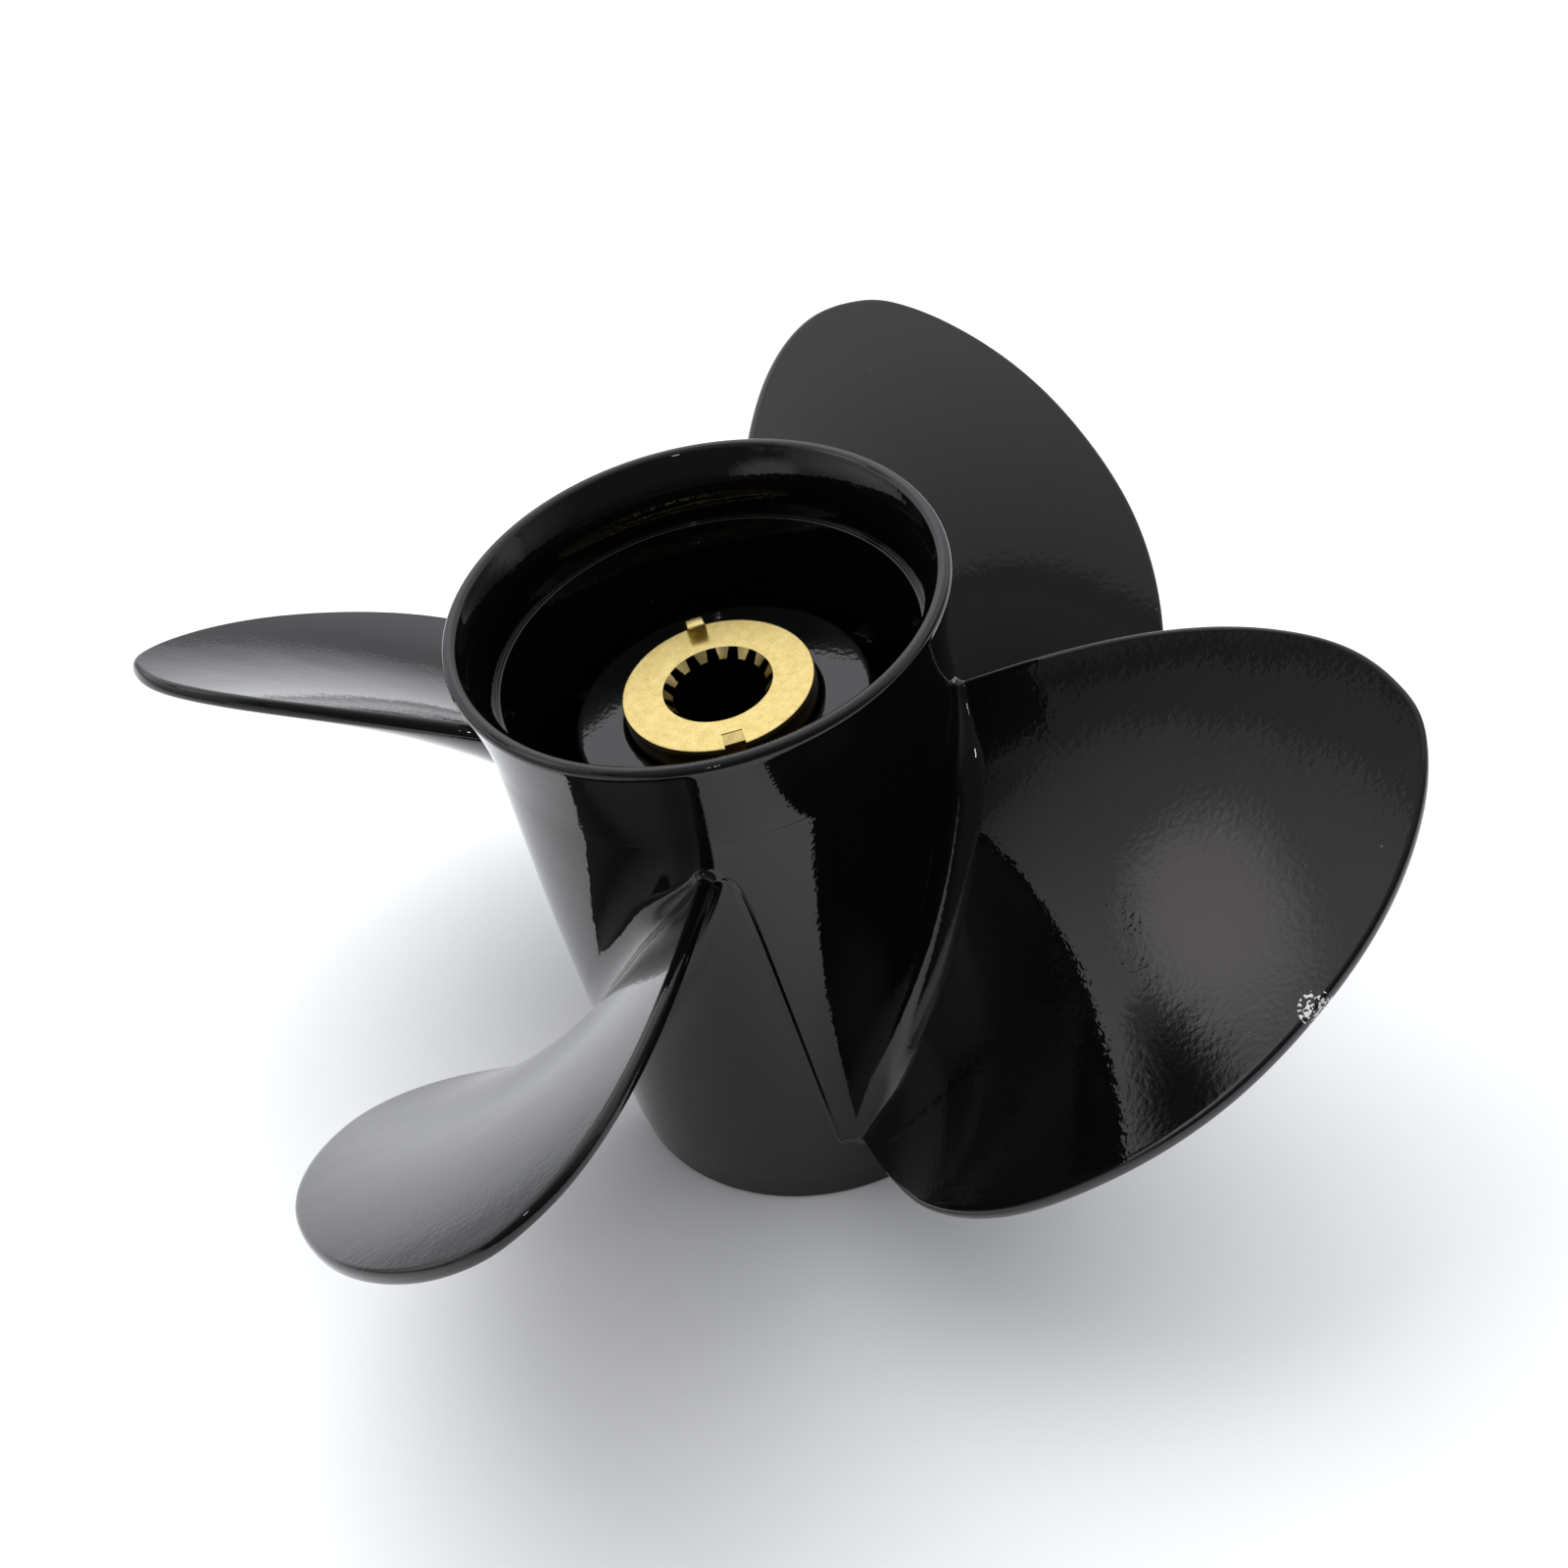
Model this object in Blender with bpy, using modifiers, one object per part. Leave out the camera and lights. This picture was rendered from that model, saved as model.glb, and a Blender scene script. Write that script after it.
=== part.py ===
"""Four-bladed outboard boat propeller with through-hub exhaust, a rubber bush and a splined brass sleeve.

Metres, +Z up along the shaft towards the flared exhaust end. The origin is the centre of the front
end face, on which the propeller stands. Blade angles are measured round +Z from +X.
"""

import math

import bmesh
import bpy
from mathutils import Matrix

GAP = 0.0003  # between neighbouring solids
TURNED_STEPS = 72
OVERSHOOT = 0.005  # how far a cutter runs past what it cuts
CUTTER_CORE = 0.002  # inner radius of a turned cutter that empties the middle
MERGE_DISTANCE = 0.00001
SLOPE_STEP = 0.00001  # over which a surface's slope is measured

# barrel, the outer tube that the blades grow from
OVERALL_HEIGHT = 0.1576
LIP_RADIUS = 0.058
LIP_BEAD = 0.0048  # width of the rounded rim
RIM_FIRST_ANGLE = 150  # where the rim's round begins on its inner side, in degrees
RIM_STEPS = 5
FLARE_START_HEIGHT = 0.131
FLARE_BEND = 1.6
FLARE_STEPS = 5
BARREL_RADIUS = 0.054
FRONT_RADIUS = 0.0503
FRONT_BAND_HEIGHT = 0.0092  # machined band at the front end, below a shallow step
FRONT_BAND_STEP = 0.0005
MOUTH_TAPER = (0.001, 0.008)  # how far the mouth opens, over this height above its step
TAPER_TOP_HEIGHT = 0.095
OUTER_HEIGHTS = (0.110, TAPER_TOP_HEIGHT, 0.070, 0.045, 0.025, FRONT_BAND_HEIGHT)
FRONT_BORE_RADIUS = 0.046
STEP_HEIGHT = 0.140
STEP_RADIUS = 0.050
STEP_WIDTH = 0.0008
REAR_BORE_RADIUS = STEP_RADIUS - STEP_WIDTH
EDGE_BREAK = 0.0008

# inner hub and the ribs that carry it
HUB_RADIUS = 0.0352
HUB_TOP = 0.1243
HUB_BOTTOM = 0.014
HUB_BORE_RADIUS = 0.025
HUB_LIP_RADIUS = 0.0231
HUB_LIP_HEIGHT = 0.0055
RIB_COUNT = 4
RIB_FIRST_ANGLE = math.radians(41)
RIB_THICKNESS = 0.0055
RIB_TOP = 0.116
RIB_BOTTOM = 0.020

# splined brass sleeve and the rubber bush round it
SLEEVE_TOP = 0.1304
SLEEVE_BOTTOM = 0.020
SLEEVE_HEAD_RADIUS = 0.0227
SLEEVE_HEAD_BOTTOM = 0.1175
SLEEVE_CHAMFER = 0.0004
SLEEVE_BODY_RADIUS = 0.017
SPLINE_TEETH = 15
SPLINE_MAJOR_RADIUS = 0.0130
SPLINE_MINOR_RADIUS = 0.0111
SPLINE_FIRST_GROOVE = math.radians(88.6)
LEAD_IN_DEPTH = 0.0021  # of the chamfer at the mouth of the splines
GROOVE_ROOT_SHARE = 0.30  # share of one tooth's turn that the groove's floor takes
GROOVE_MOUTH_SHARE = 0.56
BUSH_BOTTOM = 0.022
TAB_ANGLE = math.radians(95)
TAB_WIDTH = 0.0046
TAB_HEIGHT = 0.0030
TAB_DEPTH = 0.0036
TAB_SUNK = 0.001  # how far the tab's block reaches down into the head
SLOT_ANGLE = math.radians(-88.5)
SLOT_WIDTH = 0.0049
SLOT_DEPTH = 0.0030
SLOT_LENGTH = 0.0052

# blades: sections on cylinders round the shaft, measured at the middle radius and angle
BLADE_COUNT = 4
BLADE_TURN = 2 * math.pi / BLADE_COUNT
MIDDLE_RADIUS = 0.1044
MIDDLE_ANGLE = math.radians(-35)
MIDDLE_HEIGHT = 0.1078
PITCH = 0.520
RAKE = 0.233  # rise towards the tip, metres per metre
RAKE_CURVE = -0.93
CAMBER = 0.0019  # per radian squared
CAMBER_GROWTH = 0.062
TRAILING_DROOP = -0.0030  # per radian cubed
ROOT_RADIUS = 0.050
TIP_RADIUS = 0.1596
# leading and trailing edges, in degrees at equal shares of the span, the shares eased towards the tip
LEADING_ANGLES = (-85.1, -83.5, -80.8, -74.8, -66.1, -57.0, -47.4, -39.3, -31.8)
TRAILING_ANGLES = (-14.3, -14.4, -15.0, -16.2, -18.0, -20.3, -23.3, -26.6, -31.8)
ROOT_STATIONS = (0.0490, 0.0530, 0.0553, 0.0580, 0.0625)
SPAN_STATIONS = 12
CHORD_STATIONS = 10
LAST_STATION_SHARE = 0.975  # the small flat that closes the tip
ROOT_THICKNESS = 0.0075
TIP_THICKNESS = 0.0036
LEADING_THICKNESS = 0.0034
TRAILING_THICKNESS = 0.0032
EDGE_BULGE = 0.0012
AFT_FILLET = 0.008
FORE_FILLET = 0.005
END_FILLET_SHARE = 0.35  # of the fillet's height, where it wraps round a blade's two ends
END_FILLET_PUSH = 0.7  # and how far it stands out from them


def clear_scene():
    for old in list(bpy.data.objects):
        bpy.data.objects.remove(old, do_unlink=True)


def new_collection(name):
    collection = bpy.data.collections.new(name)
    bpy.context.scene.collection.children.link(collection)
    return collection


def new_material(name, colour, roughness, metallic):
    material = bpy.data.materials.new(name)
    material.use_nodes = True
    shader = material.node_tree.nodes["Principled BSDF"]
    shader.inputs["Base Color"].default_value = (*colour, 1)
    shader.inputs["Roughness"].default_value = roughness
    shader.inputs["Metallic"].default_value = metallic
    return material


def add_object(name, mesh, collection, material=None):
    made = bpy.data.objects.new(name, mesh)
    collection.objects.link(made)
    if material:
        mesh.materials.append(material)
    else:
        made.hide_render = True
        made.display_type = "WIRE"
    return made


def mesh_from(name, build):
    """A mesh that build(bm) fills."""
    mesh = bpy.data.meshes.new(name)
    bm = bmesh.new()
    build(bm)
    bm.to_mesh(mesh)
    bm.free()
    return mesh


def soften(mesh, degrees=35):
    mesh.shade_smooth()
    mesh.set_sharp_from_angle(angle=math.radians(degrees))


def turned(name, profile, collection, material=None):
    """A closed (radius, height) outline, down its outer side first, turned round the shaft."""

    def outline(bm):
        points = [bm.verts.new((radius, 0, height)) for radius, height in profile]
        for first, second in zip(points, points[1:] + points[:1]):
            bm.edges.new((first, second))

    made = add_object(name, mesh_from(name, outline), collection, material)
    screw = made.modifiers.new("turn", "SCREW")
    screw.steps = TURNED_STEPS
    screw.render_steps = TURNED_STEPS
    screw.use_merge_vertices = True
    screw.merge_threshold = MERGE_DISTANCE
    screw.use_smooth_shade = True
    return made


def block(name, size, centre, collection, material=None):
    """A box of the given size, its mesh placed at centre."""

    def cube(bm):
        bmesh.ops.create_cube(bm, size=1, matrix=Matrix.Translation(centre) @ Matrix.Diagonal((*size, 1)))

    return add_object(name, mesh_from(name, cube), collection, material)


def boolean(target, other, operation):
    modifier = target.modifiers.new(other.name, "BOOLEAN")
    modifier.object = other
    modifier.operation = operation
    modifier.solver = "EXACT"


def barrel_radius(height):
    """Outer radius of the barrel below its flare: a slight taper, then straight."""
    share = min(max((height - FRONT_BAND_HEIGHT) / (TAPER_TOP_HEIGHT - FRONT_BAND_HEIGHT), 0), 1)
    foot = FRONT_RADIUS + FRONT_BAND_STEP
    return foot + (BARREL_RADIUS - foot) * math.sin(share * math.pi / 2)


def bore_radius(height):
    """Inner radius of the barrel below the step in its mouth."""
    return FRONT_BORE_RADIUS + (REAR_BORE_RADIUS - FRONT_BORE_RADIUS) * height / STEP_HEIGHT


def flare_profile():
    """Outer side from the rounded rim down to where the flare leaves the barrel."""
    bead = LIP_BEAD / 2
    points = []
    for step in range(RIM_STEPS + 1):
        angle = math.radians(RIM_FIRST_ANGLE) * (1 - step / RIM_STEPS)
        radius = LIP_RADIUS - bead + bead * math.cos(angle)
        points.append((radius, OVERALL_HEIGHT - bead + bead * math.sin(angle)))
    drop = OVERALL_HEIGHT - bead - FLARE_START_HEIGHT
    for step in range(1, FLARE_STEPS + 1):
        share = step / FLARE_STEPS
        radius = BARREL_RADIUS + (LIP_RADIUS - BARREL_RADIUS) * (1 - share) ** FLARE_BEND
        points.append((radius, OVERALL_HEIGHT - bead - drop * share))
    return points


def barrel_profile():
    outer = flare_profile()
    outer += [(barrel_radius(height), height) for height in OUTER_HEIGHTS]
    outer.append((FRONT_RADIUS, FRONT_BAND_HEIGHT - FRONT_BAND_STEP))
    outer += [(FRONT_RADIUS, EDGE_BREAK), (FRONT_RADIUS - EDGE_BREAK, 0)]
    inner = [(FRONT_BORE_RADIUS + EDGE_BREAK, 0), (bore_radius(EDGE_BREAK), EDGE_BREAK)]
    inner += [(REAR_BORE_RADIUS, STEP_HEIGHT), (STEP_RADIUS, STEP_HEIGHT)]
    inner.append((STEP_RADIUS + MOUTH_TAPER[0], STEP_HEIGHT + MOUTH_TAPER[1]))
    return outer + inner


def make_barrel(parts, material):
    return turned("barrel", barrel_profile(), parts, material)


def make_inner_hub(parts, material):
    profile = [
        (HUB_RADIUS - EDGE_BREAK, HUB_TOP),
        (HUB_RADIUS, HUB_TOP - EDGE_BREAK),
        (HUB_RADIUS, HUB_BOTTOM + EDGE_BREAK),
        (HUB_RADIUS - EDGE_BREAK, HUB_BOTTOM),
        (HUB_BORE_RADIUS, HUB_BOTTOM),
        (HUB_BORE_RADIUS, HUB_TOP - HUB_LIP_HEIGHT),
        (HUB_LIP_RADIUS, HUB_TOP - HUB_LIP_HEIGHT),
        (HUB_LIP_RADIUS, HUB_TOP),
    ]
    return turned("inner_hub", profile, parts, material)


def make_ribs(parts, cutters, material):
    """Webs between inner hub and barrel, one under the middle of each blade's root."""
    passage = [
        (bore_radius(HUB_TOP) - GAP, HUB_TOP),
        (bore_radius(HUB_BOTTOM) - GAP, HUB_BOTTOM),
        (HUB_RADIUS + GAP, HUB_BOTTOM),
        (HUB_RADIUS + GAP, HUB_TOP),
    ]
    exhaust_passage = turned("exhaust_passage", passage, cutters)
    for index in range(RIB_COUNT):
        middle = (HUB_RADIUS + REAR_BORE_RADIUS) / 2
        length = REAR_BORE_RADIUS - HUB_RADIUS + OVERSHOOT
        size = (length, RIB_THICKNESS, RIB_TOP - RIB_BOTTOM)
        rib = block(f"rib_{index + 1}", size, (middle, 0, (RIB_TOP + RIB_BOTTOM) / 2), parts, material)
        rib.rotation_euler.z = RIB_FIRST_ANGLE + index * 2 * math.pi / RIB_COUNT
        boolean(rib, exhaust_passage, "INTERSECT")


def make_rubber_bush(parts, material):
    inner = SLEEVE_BODY_RADIUS + GAP
    outer = HUB_BORE_RADIUS - GAP
    top = SLEEVE_HEAD_BOTTOM - GAP
    profile = [(outer, top), (outer, BUSH_BOTTOM), (inner, BUSH_BOTTOM), (inner, top)]
    return turned("rubber_bush", profile, parts, material)


def spline_cutter(cutters):
    """The bore with its grooves, as a flat outline extruded past both ends of the sleeve."""
    tooth = 2 * math.pi / SPLINE_TEETH
    outline = []
    for index in range(SPLINE_TEETH):
        middle = SPLINE_FIRST_GROOVE + index * tooth
        for radius, share in (
            (SPLINE_MINOR_RADIUS, -GROOVE_MOUTH_SHARE / 2),
            (SPLINE_MAJOR_RADIUS, -GROOVE_ROOT_SHARE / 2),
            (SPLINE_MAJOR_RADIUS, GROOVE_ROOT_SHARE / 2),
            (SPLINE_MINOR_RADIUS, GROOVE_MOUTH_SHARE / 2),
        ):
            angle = middle + share * tooth
            outline.append((radius * math.cos(angle), radius * math.sin(angle)))
    curve = bpy.data.curves.new("splined_bore", "CURVE")
    curve.dimensions = "2D"
    curve.fill_mode = "BOTH"
    curve.extrude = SLEEVE_TOP
    line = curve.splines.new("POLY")
    line.points.add(len(outline) - 1)
    for point, (x, y) in zip(line.points, outline):
        point.co = (x, y, 0, 1)
    line.use_cyclic_u = True
    drawn = bpy.data.objects.new("splined_bore_outline", curve)
    cutters.objects.link(drawn)
    bpy.context.view_layer.update()
    graph = bpy.context.evaluated_depsgraph_get()
    mesh = bpy.data.meshes.new_from_object(drawn.evaluated_get(graph))
    bpy.data.objects.remove(drawn, do_unlink=True)
    bm = bmesh.new()
    bm.from_mesh(mesh)
    bmesh.ops.remove_doubles(bm, verts=bm.verts, dist=MERGE_DISTANCE)
    bmesh.ops.recalc_face_normals(bm, faces=bm.faces)
    bm.to_mesh(mesh)
    bm.free()
    return add_object("splined_bore", mesh, cutters)


def make_sleeve(parts, cutters, material):
    core = SPLINE_MINOR_RADIUS / 2
    blank = [
        (SLEEVE_HEAD_RADIUS - SLEEVE_CHAMFER, SLEEVE_TOP),
        (SLEEVE_HEAD_RADIUS, SLEEVE_TOP - SLEEVE_CHAMFER),
        (SLEEVE_HEAD_RADIUS, SLEEVE_HEAD_BOTTOM),
        (SLEEVE_BODY_RADIUS, SLEEVE_HEAD_BOTTOM),
        (SLEEVE_BODY_RADIUS, SLEEVE_BOTTOM),
        (core, SLEEVE_BOTTOM),
        (core, SLEEVE_TOP),
    ]
    sleeve = turned("splined_sleeve", blank, parts, material)

    tab_middle = SLEEVE_HEAD_RADIUS - SLEEVE_CHAMFER - TAB_DEPTH / 2
    tab_size = (TAB_DEPTH, TAB_WIDTH, TAB_HEIGHT + TAB_SUNK)
    tab = block("tab", tab_size, (tab_middle, 0, SLEEVE_TOP + (TAB_HEIGHT - TAB_SUNK) / 2), cutters)
    tab.rotation_euler.z = TAB_ANGLE
    boolean(sleeve, tab, "UNION")

    boolean(sleeve, spline_cutter(cutters), "DIFFERENCE")

    slope = (SPLINE_MAJOR_RADIUS - SPLINE_MINOR_RADIUS) / LEAD_IN_DEPTH
    above = SLEEVE_TOP + OVERSHOOT
    lead_in = [
        (SPLINE_MAJOR_RADIUS + OVERSHOOT * slope, above),
        (SPLINE_MINOR_RADIUS - OVERSHOOT * slope, SLEEVE_TOP - LEAD_IN_DEPTH - OVERSHOOT),
        (CUTTER_CORE, SLEEVE_TOP - LEAD_IN_DEPTH - OVERSHOOT),
        (CUTTER_CORE, above),
    ]
    boolean(sleeve, turned("lead_in", lead_in, cutters), "DIFFERENCE")

    slot_size = (SLOT_LENGTH + OVERSHOOT, SLOT_WIDTH, SLOT_DEPTH + OVERSHOOT)
    slot_middle = SLEEVE_HEAD_RADIUS - SLOT_LENGTH + slot_size[0] / 2
    slot = block("slot", slot_size, (slot_middle, 0, SLEEVE_TOP - SLOT_DEPTH + slot_size[2] / 2), cutters)
    slot.rotation_euler.z = SLOT_ANGLE
    boolean(sleeve, slot, "DIFFERENCE")
    return sleeve


def pressure_height(radius, angle):
    """Height of a blade's aft face: a helicoid of constant pitch with rake and some camber."""
    out = radius - MIDDLE_RADIUS
    turn = angle - MIDDLE_ANGLE
    rise = RAKE * out + RAKE_CURVE * out**2
    camber = (CAMBER + CAMBER_GROWTH * out) * turn**2 + TRAILING_DROOP * turn**3
    return MIDDLE_HEIGHT + rise + PITCH * turn / (2 * math.pi) + camber


def pressure_normal(radius, angle):
    """Unit normal of the aft face, from its slopes along the radius and round the shaft."""
    turn = SLOPE_STEP / radius
    rise_out = pressure_height(radius + SLOPE_STEP, angle) - pressure_height(radius - SLOPE_STEP, angle)
    rise_round = pressure_height(radius, angle + turn) - pressure_height(radius, angle - turn)
    slope_out = rise_out / (2 * SLOPE_STEP)
    slope_round = rise_round / (2 * SLOPE_STEP)
    out = (math.cos(angle), math.sin(angle))
    x = -slope_out * out[0] + slope_round * out[1]
    y = -slope_out * out[1] - slope_round * out[0]
    length = math.sqrt(x * x + y * y + 1)
    return x / length, y / length, 1 / length


def span_share(radius):
    """0 at the root to 1 at the tip, eased so that the outline is smooth where it turns round the tip."""
    reach = min(max((radius - ROOT_RADIUS) / (TIP_RADIUS - ROOT_RADIUS), 0), 1)
    return math.asin(reach) * 2 / math.pi


def along(values, share):
    """A smooth curve through values, spread evenly from share 0 to share 1."""
    place = share * (len(values) - 1)
    left = min(int(place), len(values) - 2)
    t = place - left
    a = values[max(left - 1, 0)]
    b = values[left]
    c = values[left + 1]
    d = values[min(left + 2, len(values) - 1)]
    if left == 0:
        a = 2 * b - c
    if left == len(values) - 2:
        d = 2 * c - b
    return 0.5 * (2 * b + (c - a) * t + (2 * a - 5 * b + 4 * c - d) * t**2 + (3 * b - a - 3 * c + d) * t**3)


def fillet_flare(radius, height, fillet):
    """How far a face stands out where the blade runs into the barrel."""
    away = radius - barrel_radius(height)
    if away >= fillet:
        return 0
    away = max(away, 0)
    return fillet - math.sqrt(fillet**2 - (fillet - away) ** 2)


def blade_section(radius):
    """A closed loop of points on a cylinder: the aft face to the trailing edge, then the fore face back."""
    share = span_share(radius)
    leading = math.radians(along(LEADING_ANGLES, share))
    trailing = math.radians(along(TRAILING_ANGLES, share))
    middle_thickness = ROOT_THICKNESS + (TIP_THICKNESS - ROOT_THICKNESS) * share
    aft, fore = [], []
    for step in range(CHORD_STATIONS + 1):
        chord = (1 - math.cos(math.pi * step / CHORD_STATIONS)) / 2
        angle = leading + (trailing - leading) * chord
        height = pressure_height(radius, angle)
        fullness = math.sqrt(4 * chord * (1 - chord))
        spread = END_FILLET_SHARE + (1 - END_FILLET_SHARE) * fullness
        aft_flare = fillet_flare(radius, height, AFT_FILLET) * spread
        fore_flare = fillet_flare(radius, height, FORE_FILLET) * spread
        edge = LEADING_THICKNESS + (TRAILING_THICKNESS - LEADING_THICKNESS) * chord
        thickness = edge + (middle_thickness - edge) * fullness
        normal = pressure_normal(radius, angle)
        foot = (radius * math.cos(angle), radius * math.sin(angle), height)
        aft.append([foot[i] + normal[i] * aft_flare for i in range(3)])
        fore.append([foot[i] - normal[i] * (thickness + fore_flare) for i in range(3)])
    leading_nose = bulged(aft[0], fore[0], aft[1], fillet_flare(radius, aft[0][2], FORE_FILLET))
    trailing_nose = bulged(aft[-1], fore[-1], aft[-2], fillet_flare(radius, aft[-1][2], FORE_FILLET))
    return aft + [trailing_nose] + fore[::-1] + [leading_nose]


def bulged(aft_end, fore_end, inward, flare):
    """The middle of a blade's edge, pushed out along the chord so that the edge is rounded."""
    along_chord = [aft_end[i] - inward[i] for i in range(3)]
    length = math.sqrt(sum(part * part for part in along_chord))
    push = (EDGE_BULGE + END_FILLET_PUSH * flare) / length
    return [(aft_end[i] + fore_end[i]) / 2 + along_chord[i] * push for i in range(3)]


def blade_radii():
    """Stations close together in the root fillet, then eased towards the tip."""
    first = span_share(ROOT_STATIONS[-1])
    radii = list(ROOT_STATIONS)
    for step in range(1, SPAN_STATIONS + 1):
        share = first + (LAST_STATION_SHARE - first) * step / SPAN_STATIONS
        radii.append(ROOT_RADIUS + (TIP_RADIUS - ROOT_RADIUS) * math.sin(share * math.pi / 2))
    return radii


def blade_loft(bm):
    """Skin over the blade's sections, closed at the root and at the tip."""
    rings = []
    for radius in blade_radii():
        rings.append([bm.verts.new(point) for point in blade_section(radius)])
    count = len(rings[0])
    for inner, outer in zip(rings, rings[1:]):
        for i in range(count):
            j = (i + 1) % count
            bm.faces.new((inner[i], inner[j], outer[j], outer[i]))
    bm.faces.new(rings[0])
    bm.faces.new(rings[-1])
    bmesh.ops.recalc_face_normals(bm, faces=bm.faces)


def make_blades(parts, cutters, material):
    """Four alike, cut off just outside the barrel that carries them."""
    top = FLARE_START_HEIGHT + OVERSHOOT
    outside = [(barrel_radius(height) + GAP, height) for height in (top, *OUTER_HEIGHTS, -OVERSHOOT)]
    outside += [(CUTTER_CORE, -OVERSHOOT), (CUTTER_CORE, top)]
    barrel_outside = turned("barrel_outside", outside, cutters)
    for index in range(BLADE_COUNT):
        mesh = mesh_from("blade", blade_loft)
        soften(mesh)
        blade = add_object(f"blade_{index + 1}", mesh, parts, material)
        blade.rotation_euler.z = index * BLADE_TURN
        boolean(blade, barrel_outside, "DIFFERENCE")


def make_propeller():
    clear_scene()
    parts = new_collection("boat_propeller")
    cutters = new_collection("cutters")
    enamel = new_material("black enamel", (0.012, 0.013, 0.014), 0.12, 0.0)
    brass = new_material("brass", (0.86, 0.66, 0.33), 0.35, 1.0)
    rubber = new_material("rubber", (0.02, 0.02, 0.02), 0.75, 0.0)
    make_barrel(parts, enamel)
    make_inner_hub(parts, enamel)
    make_ribs(parts, cutters, enamel)
    make_rubber_bush(parts, rubber)
    make_sleeve(parts, cutters, brass)
    make_blades(parts, cutters, enamel)


make_propeller()
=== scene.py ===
import math

import bmesh
import bpy
import numpy as np
from mathutils import Matrix, Vector


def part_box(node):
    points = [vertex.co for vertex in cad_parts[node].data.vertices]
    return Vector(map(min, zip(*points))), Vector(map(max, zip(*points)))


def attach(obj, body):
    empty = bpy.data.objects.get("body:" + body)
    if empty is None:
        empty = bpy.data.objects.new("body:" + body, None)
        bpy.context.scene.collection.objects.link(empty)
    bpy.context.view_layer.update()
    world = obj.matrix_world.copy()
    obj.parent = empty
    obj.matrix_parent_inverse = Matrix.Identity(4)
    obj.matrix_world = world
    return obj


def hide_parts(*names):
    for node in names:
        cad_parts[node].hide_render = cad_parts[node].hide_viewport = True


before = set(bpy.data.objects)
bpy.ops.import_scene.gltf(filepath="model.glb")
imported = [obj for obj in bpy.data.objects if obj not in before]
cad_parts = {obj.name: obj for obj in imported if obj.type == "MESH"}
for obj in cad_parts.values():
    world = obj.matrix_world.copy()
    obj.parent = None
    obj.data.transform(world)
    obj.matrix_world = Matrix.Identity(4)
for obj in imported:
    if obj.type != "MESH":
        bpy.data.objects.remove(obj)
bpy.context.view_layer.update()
mm = 0.001

# Boat propeller, standing on the front end of its barrel, +Z along the shaft towards the exhaust mouth.

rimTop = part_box("barrel")[1].z
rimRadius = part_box("barrel")[1].x
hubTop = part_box("inner_hub")[1].z
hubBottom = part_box("inner_hub")[0].z
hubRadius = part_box("inner_hub")[1].x


# Camera, at the photo's viewing angle

cameraSetup = {
    "lens": 54.43,
    "lookDown": 42.57,      # degrees below level
    "roll": -14.88,
    "fromRim": Vector((20.40, -42.48, 527.14)) * mm,     # rim centre to camera, in the camera's own axes
}


def makeCamera(setup):
    lens = bpy.data.cameras.new("photoCamera")
    lens.lens = setup["lens"]
    lens.sensor_width = 36
    lens.clip_start = 0.01
    camera = bpy.data.objects.new("photoCamera", lens)
    bpy.context.scene.collection.objects.link(camera)
    tilt = Matrix.Rotation(math.radians(90 - setup["lookDown"]), 4, "X")
    turn = tilt @ Matrix.Rotation(math.radians(setup["roll"]), 4, "Z")
    camera.matrix_world = Matrix.Translation(Vector((0, 0, rimTop)) + turn @ setup["fromRim"]) @ turn
    bpy.context.scene.camera = camera
    return camera


makeCamera(cameraSetup)
print("camera placed")


# Mesh helpers

def finishPiece(name, mesh, material, replaced=()):
    mesh.materials.clear()
    mesh.materials.append(material)
    piece = bpy.data.objects.new(name, mesh)
    bpy.context.scene.collection.objects.link(piece)
    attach(piece, "root")
    if replaced:
        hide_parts(*replaced)
    return piece


def gridFaces(rows, columns, wrap, first=0):
    # quads between rows of points; wrap closes each row on itself
    faces = []
    for row in range(rows - 1):
        for column in range(columns if wrap else columns - 1):
            after = (column + 1) % columns
            a = first + row * columns
            b = a + columns
            faces.append((a + column, a + after, b + after, b + column))
    return faces


def turnedMesh(name, profile, steps):
    # profile is a closed loop of (radius, height), down its outer side first
    points = []
    for radius, height in profile:
        for step in range(steps):
            angle = 2 * math.pi * step / steps
            points.append((radius * math.cos(angle), radius * math.sin(angle), height))
    faces = gridFaces(len(profile), steps, True)
    last = (len(profile) - 1) * steps
    for step in range(steps):
        after = (step + 1) % steps
        faces.append((last + step, last + after, after, step))
    return closedMesh(name, points, faces)


def roundCorners(profile, steps=4, hold=0.6):
    # a point with a third value, its radius, becomes a short arc with one more point just before and after it
    rounded = []
    for index, (radius, height, *rounding) in enumerate(profile):
        corner = Vector((radius, height))
        if not rounding:
            rounded.append(tuple(corner))
            continue
        before = Vector(profile[index - 1][:2]) - corner
        after = Vector(profile[(index + 1) % len(profile)][:2]) - corner
        reach = min(rounding[0], before.length * 0.3, after.length * 0.3)
        start = corner + before.normalized() * reach
        end = corner + after.normalized() * reach
        rounded.append(tuple(start + before.normalized() * reach * hold))
        for step in range(steps + 1):
            t = step / steps
            rounded.append(tuple(start * (1 - t) ** 2 + corner * 2 * t * (1 - t) + end * t**2))
        rounded.append(tuple(end + after.normalized() * reach * hold))
    return rounded


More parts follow.
